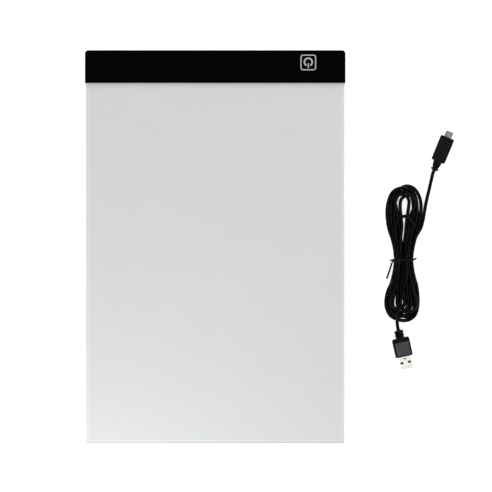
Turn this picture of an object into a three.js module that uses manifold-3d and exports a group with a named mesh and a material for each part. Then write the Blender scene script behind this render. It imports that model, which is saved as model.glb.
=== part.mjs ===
// LED light box for tracing drawings: an edge-lit sheet stack for A4 paper, held along one end by a
// black header that carries the LEDs and a touch switch, with its USB lead lying tied beside it.
// Millimetres, +Z up. The origin is the centre of the pad's outline, on the surface it stands on.
// +Y points to the header and +X to the header's switch end.
import * as THREE from 'three';
import { mergeVertices } from 'three/addons/utils/BufferGeometryUtils.js';
import Module from 'manifold-3d';

const wasm = await Module();
wasm.setup();

// Pad outline
const padWidth = 235;
const padLength = 355;

// Clearances
const airGap = 0.02;            // air between two stacked sheets
const slipGap = 0.3;            // between parts that slide into or pass beside each other
const seatGap = 0.05;           // under a component that is soldered or glued down
const partingGap = 0.1;         // joint line between the header's covers

// Header covers
const headerDepth = 29.5;
const headerCornerRadius = 3;
const headerWall = 1.2;
const headerRoof = 1.4;
const coverEdgeRound = 0.4;
const lipThickness = 0.8;
const lipHeight = 1.0;

// Sheet stack
const sideInset = 0.6;          // how far the sheets stay inside the header's ends
const panelCornerRadius = 2.5;
const panelGrip = 7;            // how far the sheets go into the header
const backThickness = 1.0;
const reflectorThickness = 0.2;
const guideThickness = 2.0;
const filmThickness = 0.2;      // diffuser film and bonding tape
const topSheetThickness = 0.6;
const topSheetEdgeRound = 0.2;
const tapeWidth = 3.2;
const endTapeWidth = 2.2;

// Feet and screws
const footHeight = 0.8;
const footRadius = 4;
const footInset = 14;
const screwHeadRadius = 1.8;
const screwShankRadius = 0.8;
const screwHeadHeight = 0.7;
const screwGap = 0.25;
const bossWall = 1.2;
const screwEndInset = 9.5;
const screwBackInset = 9.5;
const screwMiddleX = -20;

// LED strip
const ledCount = 14;
const ledLength = 3.5;
const ledDepth = 0.8;
const ledHeight = 1.6;
const stripThickness = 0.8;
const stripEndInset = 7;

// Control board and touch switch
const switchInset = 33.5;       // from the header's end to the middle of the switch
const boardThickness = 0.8;
const boardReachLeft = 40;      // from the switch to the board's two ends
const boardReachRight = 14;
const boardFrontGap = 1.2;      // from the LED strip to the board
const electrodeSize = 12;
const electrodeThickness = 0.15;
const springRadius = 2.2;
const springWireRadius = 0.25;
const springTurns = 2.5;
const wireRadius = 0.5;

// Printed mark
const inkThickness = 0.1;
const markSize = 13.2;          // to the middle of the frame's line
const markLine = 1.0;
const markCornerRadius = 2;
const ringRadius = 3.5;
const ringLine = 1.4;
const ringGapAngle = THREE.MathUtils.degToRad(60);
const ringRise = 0.25;          // ring's centre above the frame's centre
const barWidth = 1.1;
const barLength = 4.3;
const barDrop = 0.9;            // bar's top below the ring's centre

// Micro-USB socket, and the plug shell that fits it
const socketOffset = 24;        // from the switch to the socket's middle
const socketWall = 0.25;
const socketDepth = 5;
const socketRecess = 0.4;
const socketCutGap = 0.2;
const microShellWidth = 6.85;
const microShellHeight = 1.8;
const microShellLength = 5.5;
const microShellWall = 0.25;
const microFitGap = 0.1;
const microChamfer = 0.6;
const bladeWidth = 3.7;
const bladeHeight = 0.5;

// Lead
const leadDiameter = 3.2;
const leadSides = 8;
const turnedGap = 0.3;          // between two pieces in line on the lead
const microPlugRear = [201.02, 77.26];
const microPlugAngle = THREE.MathUtils.degToRad(22.4);      // from +Y towards +X
const microMouldLength = 23.4;
const microMouldWidth = 12.6;
const microMouldCornerRadius = 1.6;
const microMouldHeight = 6.4;
const reliefLength = 8.6;
const reliefWiden = 1.2;        // both strain reliefs are moulded wider than they are high
const reliefRootRadius = 3.0;
const reliefEndRadius = 2.6;
const reliefNeckRadius = 2.1;
const usbPlugRear = [166.95, -82.1];
const usbPlugAngle = THREE.MathUtils.degToRad(180 + 12.6);  // from +Y, turning towards -X
const usbMouldLength = 17.2;
const usbMouldWidth = 15.8;
const usbMouldHeight = 7.6;
const usbMouldCornerRadius = 2.5;
const usbPanelDepth = 0.3;
const usbPanelMargin = 2.6;
const usbShellWidth = 12;
const usbShellHeight = 4.5;
const usbShellLength = 11;
const usbShellWall = 0.3;
const usbTongueHeight = 1.9;
const usbTongueLength = 8.8;
const bootLength = 7.4;
const bootNeckRadius = 2.1;
const bootRingRadius = 3.4;
const hankHeight = 10.4;
const tieY = -11.4;
const tieWidth = 1.2;
const tieThickness = 1.0;
const tieDepth = 0.5;           // how deep the tie sinks into the hank's sides and top
const tieLift = 0.05;           // under the tie, where the hank stands clear of the table
const waistLeft = 161.2;
const waistRight = 179.0;

// Heights worked out from the stack
const reflectorZ = footHeight + backThickness + airGap;
const guideZ = reflectorZ + reflectorThickness + airGap;
const filmZ = guideZ + guideThickness + airGap;
const topSheetZ = filmZ + filmThickness + airGap;
const panelTop = topSheetZ + topSheetThickness;
const roofZ = panelTop + airGap;
const headerTop = roofZ + headerRoof;
const floorTop = footHeight + backThickness;    // the header's floor is flush with the back sheet

// Plan positions worked out from the outline
const halfWidth = padWidth / 2;
const headerBack = padLength / 2;
const headerFront = headerBack - headerDepth;
const panelEnd = -padLength / 2;
const panelHalf = halfWidth - sideInset;
const tongueHalf = halfWidth - headerWall - slipGap;
const shoulderY = headerFront - slipGap;
const gripEnd = headerFront + panelGrip;
const ledFront = gripEnd + slipGap;
const stripFront = ledFront + ledDepth + seatGap;
const stripBack = stripFront + stripThickness;
const switchX = halfWidth - switchInset;
const socketX = switchX - socketOffset;
const socketHeight = microShellHeight + 2 * (microFitGap + socketWall);
const socketWidth = microShellWidth + 2 * (microFitGap + socketWall);
const socketZ = (floorTop + roofZ) / 2;
const lipBack = headerBack - headerWall - slipGap;
const switchY = (stripBack + lipBack) / 2;      // middle of the room behind the LED strip
const boardFront = stripBack + boardFrontGap;
const boardBack = lipBack - lipThickness - slipGap;
const boardTop = floorTop + seatGap + boardThickness;

// Materials
const blackAbs = new THREE.MeshStandardMaterial({ color: 0x0c0e0e, roughness: 0.35 });
const blackPvc = new THREE.MeshStandardMaterial({ color: 0x141414, roughness: 0.5 });
const blackRubber = new THREE.MeshStandardMaterial({ color: 0x1c1c1c, roughness: 0.9 });
const whitePvc = new THREE.MeshStandardMaterial({ color: 0xe8e8e8, roughness: 0.6 });
const whiteFilm = new THREE.MeshStandardMaterial({ color: 0xf4f4f4, roughness: 0.7 });
const frostedAcrylic = new THREE.MeshStandardMaterial({ color: 0xdadada, roughness: 0.55 });
const clearAcrylic = new THREE.MeshStandardMaterial({ color: 0xdfe8ea, roughness: 0.1 });
const greyInk = new THREE.MeshStandardMaterial({ color: 0xb4b4b4, roughness: 0.6 });
const boardLaminate = new THREE.MeshStandardMaterial({ color: 0x1d5a36, roughness: 0.5 });
const whiteLaminate = new THREE.MeshStandardMaterial({ color: 0xf0f0ee, roughness: 0.5 });
const ledPackage = new THREE.MeshStandardMaterial({ color: 0xf3e9a8, roughness: 0.4 });
const chipEpoxy = new THREE.MeshStandardMaterial({ color: 0x202022, roughness: 0.6 });
const ceramicBody = new THREE.MeshStandardMaterial({ color: 0xa08a68, roughness: 0.5 });
const nickelSteel = new THREE.MeshStandardMaterial({ color: 0xb8babd, roughness: 0.3, metalness: 1 });
const copperFoil = new THREE.MeshStandardMaterial({ color: 0xb87a4a, roughness: 0.4, metalness: 1 });
const redPvc = new THREE.MeshStandardMaterial({ color: 0xa01c1c, roughness: 0.5 });
const blackWire = new THREE.MeshStandardMaterial({ color: 0x101010, roughness: 0.5 });

const lightBox = new THREE.Group();

// Adds a named mesh to a group.
function addPiece(group, name, geometry, material) {
  const mesh = new THREE.Mesh(geometry, material);
  mesh.name = name;
  group.add(mesh);
  return mesh;
}

// Turns a closed geometry into a solid that can be cut and joined.
function toSolid(geometry) {
  const bare = geometry.clone();
  bare.deleteAttribute('normal');
  bare.deleteAttribute('uv');
  const merged = mergeVertices(bare, 1e-4);
  return new wasm.Manifold(new wasm.Mesh({
    numProp: 3,
    vertProperties: new Float32Array(merged.attributes.position.array),
    triVerts: new Uint32Array(merged.index.array),
  }));
}

function toGeometry(solid) {
  const mesh = solid.getMesh();
  const geometry = new THREE.BufferGeometry();
  geometry.setAttribute('position', new THREE.BufferAttribute(mesh.vertProperties, 3));
  geometry.setIndex(new THREE.BufferAttribute(mesh.triVerts, 1));
  geometry.computeVertexNormals();
  return geometry;
}

// A block between two corners.
function block(x0, x1, y0, y1, z0, z1) {
  const geometry = new THREE.BoxGeometry(x1 - x0, y1 - y0, z1 - z0);
  return geometry.translate((x0 + x1) / 2, (y0 + y1) / 2, (z0 + z1) / 2);
}

// A rectangle whose two corners at the low-Y end and two at the high-Y end have their own radii.
function roundedRectangle(x0, x1, y0, y1, lowRadius, highRadius) {
  const shape = new THREE.Shape();
  shape.moveTo(x0 + lowRadius, y0);
  shape.lineTo(x1 - lowRadius, y0);
  if (lowRadius > 0) shape.absarc(x1 - lowRadius, y0 + lowRadius, lowRadius, -Math.PI / 2, 0);
  shape.lineTo(x1, y1 - highRadius);
  if (highRadius > 0) shape.absarc(x1 - highRadius, y1 - highRadius, highRadius, 0, Math.PI / 2);
  shape.lineTo(x0 + highRadius, y1);
  if (highRadius > 0) shape.absarc(x0 + highRadius, y1 - highRadius, highRadius, Math.PI / 2, Math.PI);
  shape.lineTo(x0, y0 + lowRadius);
  if (lowRadius > 0) shape.absarc(x0 + lowRadius, y0 + lowRadius, lowRadius, Math.PI, 1.5 * Math.PI);
  return shape;
}

// A plate of a given outline between two heights, its edges rounded by `round`.
function plate(shape, z0, z1, round = 0, curveSegments = 8) {
  const geometry = new THREE.ExtrudeGeometry(shape, {
    depth: z1 - z0 - 2 * round,
    curveSegments,
    bevelEnabled: round > 0,
    bevelThickness: round,
    bevelSize: round,
    bevelOffset: -round,
    bevelSegments: 3,
  });
  return geometry.translate(0, 0, z0 + round);
}

// A round piece on an upright axis, from [radius, z] pairs that start and end on the axis.
function turned(profile, segments = 24) {
  const points = profile.map(([radius, z]) => new THREE.Vector2(radius, z));
  return new THREE.LatheGeometry(points, segments).rotateX(Math.PI / 2);
}

// A tube of round section through a list of points.
function tube(points, radius, sides, steps) {
  const section = new THREE.Shape();
  for (let i = 0; i < sides; i += 1) {
    const angle = (2 * Math.PI * i) / sides;
    const corner = [radius * Math.cos(angle), radius * Math.sin(angle)];
    if (i === 0) section.moveTo(...corner);
    else section.lineTo(...corner);
  }
  section.closePath();
  const path = new THREE.CatmullRomCurve3(points.map((point) => new THREE.Vector3(...point)));
  return new THREE.ExtrudeGeometry(section, { steps, bevelEnabled: false, extrudePath: path });
}

// The screws that hold the header's covers together, as [x, y].
const screwPlaces = [
  [-(halfWidth - screwEndInset), headerBack - screwBackInset],
  [screwMiddleX, headerBack - screwBackInset],
  [halfWidth - screwEndInset, headerBack - screwBackInset],
];
const screwBottom = footHeight + 0.1;
const screwTip = roofZ - 0.6;

function headerOutline() {
  return roundedRectangle(-halfWidth, halfWidth, headerFront, headerBack, 0, headerCornerRadius);
}

function screwBoss(x, y) {
  const radius = screwShankRadius + screwGap + bossWall;
  const boss = turned([[0, floorTop + slipGap], [radius, floorTop + slipGap], [radius, headerTop - 0.5],
    [0, headerTop - 0.5]]);
  const hole = turned([[0, 0], [screwShankRadius + screwGap, 0],
    [screwShankRadius + screwGap, screwTip + screwGap], [0, screwTip + screwGap]]);
  return { boss: toSolid(boss.translate(x, y, 0)), hole: toSolid(hole.translate(x, y, 0)) };
}

// Shell with a roof and three walls: the fourth side is open for the sheet stack.
function makeHeaderTopCover() {
  let cover = toSolid(plate(headerOutline(), floorTop + partingGap, headerTop, coverEdgeRound));
  const innerHalf = halfWidth - headerWall;
  const innerBack = headerBack - headerWall;
  const innerRadius = Math.max(headerCornerRadius - headerWall, 0.2);
  const cavity = roundedRectangle(-innerHalf, innerHalf, headerFront - 1, innerBack, 0, innerRadius);
  cover = cover.subtract(toSolid(plate(cavity, 0, roofZ)));
  const cutHalf = socketWidth / 2 + socketCutGap;
  const cutTop = socketZ + socketHeight / 2 + socketCutGap;
  cover = cover.subtract(toSolid(block(socketX - cutHalf, socketX + cutHalf, innerBack - 1,
    headerBack + 1, 0, cutTop)));
  for (const [x, y] of screwPlaces) {
    const { boss, hole } = screwBoss(x, y);
    cover = cover.add(boss).subtract(hole);
  }
  addPiece(lightBox, 'header_top_cover', toGeometry(cover), blackAbs);
}

// Flat plate with a raised lip that locates the top cover's walls.
function makeHeaderBottomCover() {
  let cover = toSolid(plate(headerOutline(), footHeight, floorTop, coverEdgeRound));
  const lipOuter = halfWidth - headerWall - slipGap;
  const lipInner = lipOuter - lipThickness;
  const lipFront = boardFront;
  const lipRadius = Math.max(headerCornerRadius - headerWall - slipGap, 0.2);
  const lipTop = floorTop + lipHeight;
  const outer = roundedRectangle(-lipOuter, lipOuter, lipFront, lipBack, 0, lipRadius);
  const inner = block(-lipInner, lipInner, lipFront - 1, lipBack - lipThickness, floorTop - 1, lipTop + 1);
  const lip = toSolid(plate(outer, floorTop - 0.3, lipTop)).subtract(toSolid(inner));
  cover = cover.add(lip);
  const cutHalf = socketWidth / 2 + socketCutGap;
  const cutBottom = Math.min(socketZ - socketHeight / 2 - socketCutGap, floorTop);
  cover = cover.subtract(toSolid(block(socketX - cutHalf, socketX + cutHalf, boardBack,
    headerBack + 1, Math.max(cutBottom, floorTop - backThickness / 4), lipTop + 1)));
  for (const [x, y] of screwPlaces) {
    const sink = turned([[0, 0], [screwHeadRadius + screwGap, 0],
      [screwHeadRadius + screwGap, screwBottom + screwHeadHeight / 4],
      [screwShankRadius + screwGap, screwBottom + screwHeadHeight + screwGap / 2],
      [screwShankRadius + screwGap, floorTop + 1], [0, floorTop + 1]]);
    cover = cover.subtract(toSolid(sink.translate(x, y, 0)));
  }
  addPiece(lightBox, 'header_bottom_cover', toGeometry(cover), blackAbs);
}

function makeHeaderScrews() {
  screwPlaces.forEach(([x, y], index) => {
    let screw = toSolid(turned([[0, screwBottom], [screwHeadRadius, screwBottom],
      [screwHeadRadius, screwBottom + screwHeadHeight / 4],
      [screwShankRadius, screwBottom + screwHeadHeight],
      [screwShankRadius, screwTip - screwShankRadius / 2], [screwShankRadius / 2, screwTip],
      [0, screwTip]]));
    const reach = screwHeadRadius * 0.55;
    const half = screwHeadRadius * 0.12;
    const depth = screwBottom + screwHeadHeight * 0.5;
    screw = screw.subtract(toSolid(block(-reach, reach, -half, half, 0, depth)));
    screw = screw.subtract(toSolid(block(-half, half, -reach, reach, 0, depth)));
    const mesh = addPiece(lightBox, `header_screw_${index + 1}`, toGeometry(screw), nickelSteel);
    mesh.position.set(x, y, 0);
  });
}

// A sheet's outline: full width outside the header, and a narrower tongue inside it.
function sheetOutline(inset) {
  const radius = Math.max(panelCornerRadius - inset, 0.3);
  const outer = panelHalf - inset;
  const tongue = Math.min(tongueHalf, outer);
  const end = panelEnd + inset;
  const shape = new THREE.Shape();
  shape.moveTo(-outer + radius, end);
  shape.lineTo(outer - radius, end);
  shape.absarc(outer - radius, end + radius, radius, -Math.PI / 2, 0);
  shape.lineTo(outer, shoulderY);
  shape.lineTo(tongue, shoulderY);
  shape.lineTo(tongue, gripEnd);
  shape.lineTo(-tongue, gripEnd);
  shape.lineTo(-tongue, shoulderY);
  shape.lineTo(-outer, shoulderY);
  shape.lineTo(-outer, end + radius);
  shape.absarc(-outer + radius, end + radius, radius, Math.PI, 1.5 * Math.PI);
  return shape;
}

function makeBackSheet() {
  const outline = roundedRectangle(-panelHalf, panelHalf, panelEnd, shoulderY, panelCornerRadius, 0);
  addPiece(lightBox, 'back_sheet', plate(outline, footHeight, floorTop, 0.2), whitePvc);
}

function makeReflectorSheet() {
  const sheet = plate(sheetOutline(0.3), reflectorZ, reflectorZ + reflectorThickness);
  addPiece(lightBox, 'reflector_sheet', sheet, whiteFilm);
}

function makeLightGuidePlate() {
  const sheet = plate(sheetOutline(0), guideZ, guideZ + guideThickness, 0.1);
  addPiece(lightBox, 'light_guide_plate', sheet, clearAcrylic);
}

// White bonding tape along the two sides and the far end, around the diffuser film.
function makeEdgeTapes() {
  const top = filmZ + filmThickness;
  const inner = panelHalf - tapeWidth;
  for (const [name, side] of [['edge_tape_left', -1], ['edge_tape_right', 1]]) {
    const strip = new THREE.Shape();
    const outer = side * panelHalf;
    const rounding = outer - side * panelCornerRadius;
    strip.moveTo(side * inner, panelEnd);
    strip.lineTo(rounding, panelEnd);
    strip.quadraticCurveTo(outer, panelEnd, outer, panelEnd + panelCornerRadius);
    strip.lineTo(outer, shoulderY);
    strip.lineTo(side * inner, shoulderY);
    strip.closePath();
    addPiece(lightBox, name, plate(strip, filmZ, top), whiteFilm);
  }
  const end = block(-inner + slipGap, inner - slipGap, panelEnd, panelEnd + endTapeWidth, filmZ, top);
  addPiece(lightBox, 'edge_tape_end', end, whiteFilm);
}

function makeDiffuserSheet() {
  const half = panelHalf - tapeWidth - slipGap;
  const film = block(-half, half, panelEnd + endTapeWidth + slipGap, gripEnd, filmZ, filmZ + filmThickness);
  addPiece(lightBox, 'diffuser_sheet', film, whiteFilm);
}

function makeTopSheet() {
  const sheet = plate(sheetOutline(0), topSheetZ, panelTop, topSheetEdgeRound);
  addPiece(lightBox, 'top_sheet', sheet, frostedAcrylic);
}

// Strip of LEDs standing on edge against the light guide.
function makeLedStrip() {
  const half = halfWidth - stripEndInset - headerWall;
  const board = block(-half, half, stripFront, stripBack, floorTop + seatGap, roofZ - seatGap);
  addPiece(lightBox, 'led_strip_board', board, whiteLaminate);
  const pitch = (2 * half) / ledCount;
  const middle = guideZ + guideThickness / 2;
  for (let i = 0; i < ledCount; i += 1) {
    const x = -half + pitch * (i + 0.5);
    const led = block(x - ledLength / 2, x + ledLength / 2, ledFront, ledFront + ledDepth,
      middle - ledHeight / 2, middle + ledHeight / 2);
    addPiece(lightBox, `led_${String(i + 1).padStart(2, '0')}`, led, ledPackage);
  }
}

// Board with a notch at its back edge that the socket drops into.
function makeControlBoard() {
  const left = switchX - boardReachLeft;
  const right = switchX + boardReachRight;
  const notchHalf = socketWidth / 2 + slipGap;
  const notchFront = headerBack - socketRecess - socketDepth - slipGap;
  const outline = new THREE.Shape();
  outline.moveTo(left, boardFront);
  outline.lineTo(right, boardFront);
  outline.lineTo(right, boardBack);
  outline.lineTo(socketX + notchHalf, boardBack);
  outline.lineTo(socketX + notchHalf, notchFront);
  outline.lineTo(socketX - notchHalf, notchFront);
  outline.lineTo(socketX - notchHalf, boardBack);
  outline.lineTo(left, boardBack);
  outline.closePath();
  addPiece(lightBox, 'control_board', plate(outline, floorTop + seatGap, boardTop), boardLaminate);
}

// Components on the board, placed from the switch's middle and the board's front edge.
function makeBoardComponents() {
  const components = [
    ['touch_chip', -12, 7, 2.9, 1.6, 1.1, chipEpoxy],
    ['led_driver_chip', -33, 6, 4.9, 3.9, 1.5, chipEpoxy],
    ['smoothing_capacitor', -17, 3, 3.2, 1.6, 1.2, ceramicBody],
    ['current_resistor', -25, 3, 3.2, 1.6, 0.6, chipEpoxy],
  ];
  const base = boardTop + seatGap;
  for (const [name, offset, forward, length, width, height, material] of components) {
    const x = switchX + offset;
    const y = boardFront + forward;
    const part = block(x - length / 2, x + length / 2, y - width / 2, y + width / 2, base, base + height);
    addPiece(lightBox, name, part, material);
  }
}

// Copper foil under the printed mark, and the coil spring that joins it to the board.
function makeTouchSwitch() {
  const half = electrodeSize / 2;
  const foilTop = roofZ - seatGap;
  const foilBottom = foilTop - electrodeThickness;
  const foil = block(switchX - half, switchX + half, switchY - half, switchY + half, foilBottom, foilTop);
  addPiece(lightBox, 'touch_electrode', foil, copperFoil);
  const springBottom = boardTop + seatGap + springWireRadius;
  const springTop = foilBottom - seatGap - springWireRadius;
  const pointCount = 25;
  const points = [];
  for (let i = 0; i < pointCount; i += 1) {
    const along = i / (pointCount - 1);
    const angle = 2 * Math.PI * springTurns * along;
    points.push([switchX + springRadius * Math.cos(angle), switchY + springRadius * Math.sin(angle),
      springBottom + (springTop - springBottom) * along]);
  }
  addPiece(lightBox, 'touch_spring', tube(points, springWireRadius, 6, 32), nickelSteel);
}

// Two wires from the control board's end to the LED strip.
function makeStripWires() {
  const boardEnd = switchX - boardReachLeft;
  const z = floorTop + seatGap + wireRadius + boardThickness / 2;
  const wires = [['wire_positive', redPvc, 3.2, 7], ['wire_negative', blackWire, 6.4, 11]];
  for (const [name, material, forward, reach] of wires) {
    const y = boardFront + forward;
    const points = [[boardEnd - seatGap, y, z], [boardEnd - reach * 0.5, y, z],
      [boardEnd - reach, (y + stripBack + slipGap) / 2, z], [boardEnd - reach, stripBack + slipGap, z]];
    addPiece(lightBox, name, tube(points, wireRadius, 8, 12), material);
  }
}

// Outline of the micro-USB form: a rectangle with its two lower corners cut off.
function microOutline(width, height, chamfer) {
  const shape = new THREE.Shape();
  shape.moveTo(-width / 2 + chamfer, -height / 2);
  shape.lineTo(width / 2 - chamfer, -height / 2);
  shape.lineTo(width / 2, -height / 2 + chamfer);
  shape.lineTo(width / 2, height / 2);
  shape.lineTo(-width / 2, height / 2);
  shape.lineTo(-width / 2, -height / 2 + chamfer);
  shape.closePath();
  return shape;
}

// Metal cup of the micro-USB form, its mouth facing +Y at y = length and its middle on the Y axis.
function microCup(width, height, length, wall) {
  const toY = (geometry) => geometry.rotateX(-Math.PI / 2);
  const outer = toSolid(toY(plate(microOutline(width, height, microChamfer), 0, length)));
  const hollowOutline = microOutline(width - 2 * wall, height - 2 * wall, microChamfer);
  return outer.subtract(toSolid(toY(plate(hollowOutline, wall, length + 1))));
}

function makeSocket() {
  const rear = headerBack - socketRecess - socketDepth;
  const shell = microCup(socketWidth, socketHeight, socketDepth, socketWall);
  const mesh = addPiece(lightBox, 'micro_usb_socket_shell', toGeometry(shell), nickelSteel);
  mesh.position.set(socketX, rear, socketZ);
  const bladeRear = rear + socketWall + seatGap;
  const bladeTop = socketZ + bladeHeight;
  const blade = block(socketX - bladeWidth / 2, socketX + bladeWidth / 2, bladeRear,
    headerBack - socketRecess - 0.8, bladeTop - bladeHeight, bladeTop);
  addPiece(lightBox, 'micro_usb_socket_blade', blade, chipEpoxy);
}

// Switch mark printed on the header: a square frame, and a power ring open towards the panel.
function makeTouchMark() {
  const top = headerTop + inkThickness;
  const outerHalf = (markSize + markLine) / 2;
  const innerHalf = (markSize - markLine) / 2;
  const frame = roundedRectangle(-outerHalf, outerHalf, -outerHalf, outerHalf,
    markCornerRadius + markLine / 2, markCornerRadius + markLine / 2);
  frame.holes.push(roundedRectangle(-innerHalf, innerHalf, -innerHalf, innerHalf,
    markCornerRadius - markLine / 2, markCornerRadius - markLine / 2));
  addPiece(lightBox, 'mark_frame', plate(frame, headerTop, top), greyInk).position.set(switchX, switchY, 0);

  const ringY = switchY + ringRise;
  const start = -Math.PI / 2 + ringGapAngle / 2;
  const end = 1.5 * Math.PI - ringGapAngle / 2;
  const ring = new THREE.Shape();
  ring.absarc(0, 0, ringRadius + ringLine / 2, start, end, false);
  ring.absarc(0, 0, ringRadius - ringLine / 2, end, start, true);
  ring.closePath();
  const ringMesh = addPiece(lightBox, 'mark_ring', plate(ring, headerTop, top, 0, 24), greyInk);
  ringMesh.position.set(switchX, ringY, 0);

  const barTop = ringY - barDrop;
  const bar = block(switchX - barWidth / 2, switchX + barWidth / 2, barTop - barLength, barTop,
    headerTop, top);
  addPiece(lightBox, 'mark_bar', bar, greyInk);
}

function makeFeet() {
  const names = ['foot_header_left', 'foot_header_right', 'foot_end_left', 'foot_end_right'];
  const places = [[-1, 1], [1, 1], [-1, -1], [1, -1]];
  const edge = 0.2;
  names.forEach((name, index) => {
    const [sideX, sideY] = places[index];
    const foot = turned([[0, 0], [footRadius - edge, 0], [footRadius, edge], [footRadius, footHeight],
      [0, footHeight]]);
    const mesh = addPiece(lightBox, name, foot, blackRubber);
    mesh.position.set(sideX * (halfWidth - footInset - screwEndInset),
      sideY * (padLength / 2 - footInset), 0);
  });
}

// Everything on the micro-USB end, along local +Y, with its origin at the overmould's rear.
const microPlug = new THREE.Group();
microPlug.position.set(...microPlugRear, microMouldHeight / 2);
microPlug.rotation.z = -microPlugAngle;
lightBox.add(microPlug);

function makeMicroPlug() {
  const mould = roundedRectangle(-microMouldWidth / 2, microMouldWidth / 2, 0, microMouldLength,
    microMouldCornerRadius, microMouldCornerRadius);
  const half = microMouldHeight / 2;
  addPiece(microPlug, 'micro_plug_overmould', plate(mould, -half, half, 1.2, 4), blackPvc);

  const shell = microCup(microShellWidth, microShellHeight, microShellLength, microShellWall);
  const shellMesh = addPiece(microPlug, 'micro_plug_shell', toGeometry(shell), nickelSteel);
  shellMesh.position.y = microMouldLength + turnedGap;

  const coreRear = microMouldLength + turnedGap + microShellWall + seatGap;
  const coreHalf = bladeWidth / 2 + 0.6;
  const core = block(-coreHalf, coreHalf, coreRear, coreRear + microShellLength - 1.2, -0.55, -0.15);
  addPiece(microPlug, 'micro_plug_core', core, chipEpoxy);

  const relief = turned([[0, -reliefLength], [reliefEndRadius, -reliefLength],
    [reliefEndRadius, -reliefLength + 1.4], [reliefNeckRadius, -reliefLength + 1.8],
    [reliefNeckRadius, -reliefLength + 3.6], [reliefRootRadius, -turnedGap - 3.4],
    [reliefRootRadius, -turnedGap], [0, -turnedGap]], 16);
  relief.rotateX(-Math.PI / 2).scale(reliefWiden, 1, 1);
  addPiece(microPlug, 'micro_strain_relief', relief, blackPvc);
}

// Everything on the USB-A end, along local +Y, with its origin at the overmould's rear.
const usbPlug = new THREE.Group();
usbPlug.position.set(...usbPlugRear, usbMouldHeight / 2);
usbPlug.rotation.z = usbPlugAngle;
lightBox.add(usbPlug);

function makeUsbPlug() {
  const half = usbMouldHeight / 2;
  const mouldOutline = roundedRectangle(-usbMouldWidth / 2, usbMouldWidth / 2, 0, usbMouldLength,
    usbMouldCornerRadius, usbMouldCornerRadius);
  let mould = toSolid(plate(mouldOutline, -half, half, 0.9, 4));
  const panelHalf = usbMouldWidth / 2 - usbPanelMargin;
  const panel = roundedRectangle(-panelHalf, panelHalf, usbPanelMargin, usbMouldLength - usbPanelMargin,
    1, 1);
  mould = mould.subtract(toSolid(plate(panel, half - usbPanelDepth, half + 1)));
  addPiece(usbPlug, 'usb_plug_overmould', toGeometry(mould), blackPvc);

  const shellRear = usbMouldLength + turnedGap;
  const halfW = usbShellWidth / 2;
  const halfH = usbShellHeight / 2;
  let shell = toSolid(block(-halfW, halfW, shellRear, shellRear + usbShellLength, -halfH, halfH));
  shell = shell.subtract(toSolid(block(-halfW + usbShellWall, halfW - usbShellWall,
    shellRear + usbShellWall, shellRear + usbShellLength + 1, -halfH + usbShellWall, halfH - usbShellWall)));
  const windowFront = shellRear + usbShellLength - 5.2;
  for (const side of [-1, 1]) {
    const windowX = side * usbShellWidth * 0.22;
    shell = shell.subtract(toSolid(block(windowX - 1.2, windowX + 1.2, windowFront - 2, windowFront,
      -halfH - 1, halfH + 1)));
  }
  addPiece(usbPlug, 'usb_plug_shell', toGeometry(shell), nickelSteel);

  const tongueHalf = usbShellWidth / 2 - usbShellWall - turnedGap;
  const tongueTop = halfH - usbShellWall - turnedGap;
  const tongueRear = shellRear + usbShellWall + seatGap;
  const tongue = block(-tongueHalf, tongueHalf, tongueRear, tongueRear + usbTongueLength,
    tongueTop - usbTongueHeight, tongueTop);
  addPiece(usbPlug, 'usb_plug_tongue', tongue, chipEpoxy);

  const ring = bootRingRadius;
  const neck = bootNeckRadius;
  const boot = turned([[0, -bootLength], [neck, -bootLength], [ring, -bootLength + 0.4],
    [ring, -bootLength + 2.2], [neck, -bootLength + 2.6], [neck, -bootLength + 3.5],
    [ring, -bootLength + 3.9], [ring, -bootLength + 5.6], [neck, -bootLength + 6.0],
    [neck, -turnedGap], [0, -turnedGap]], 16);
  boot.rotateX(-Math.PI / 2).scale(reliefWiden, 1, 1);
  addPiece(usbPlug, 'usb_plug_boot', boot, blackPvc);
}

// A point at a distance along a plug's axis, in the frame of the whole model.
function alongPlug(plug, distance) {
  plug.updateMatrixWorld(true);
  return new THREE.Vector3(0, distance, 0).applyMatrix4(plug.matrixWorld).toArray();
}

// Free stretches of the lead: from each plug to the tied hank.
function makeLeadTails() {
  const lyingZ = leadDiameter / 2 + 0.1;
  const microTail = [
    alongPlug(microPlug, -reliefLength - turnedGap),
    alongPlug(microPlug, -reliefLength - turnedGap - 4),
    [194.9, 58.0, 2.4],
    [192.6, 49.5, lyingZ],
    [190.3, 41.0, lyingZ],
    [189.5, 38.4, lyingZ],
  ];
  addPiece(lightBox, 'lead_micro_tail', tube(microTail, leadDiameter / 2, leadSides, 12), blackPvc);
  const usbTail = [
    [164.2, -67.9, 2.6],
    [164.7, -70.5, 3.0],
    alongPlug(usbPlug, -bootLength - turnedGap - 2),
    alongPlug(usbPlug, -bootLength - turnedGap),
  ];
  addPiece(lightBox, 'lead_usb_tail', tube(usbTail, leadDiameter / 2, leadSides, 5), blackPvc);
}

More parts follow.
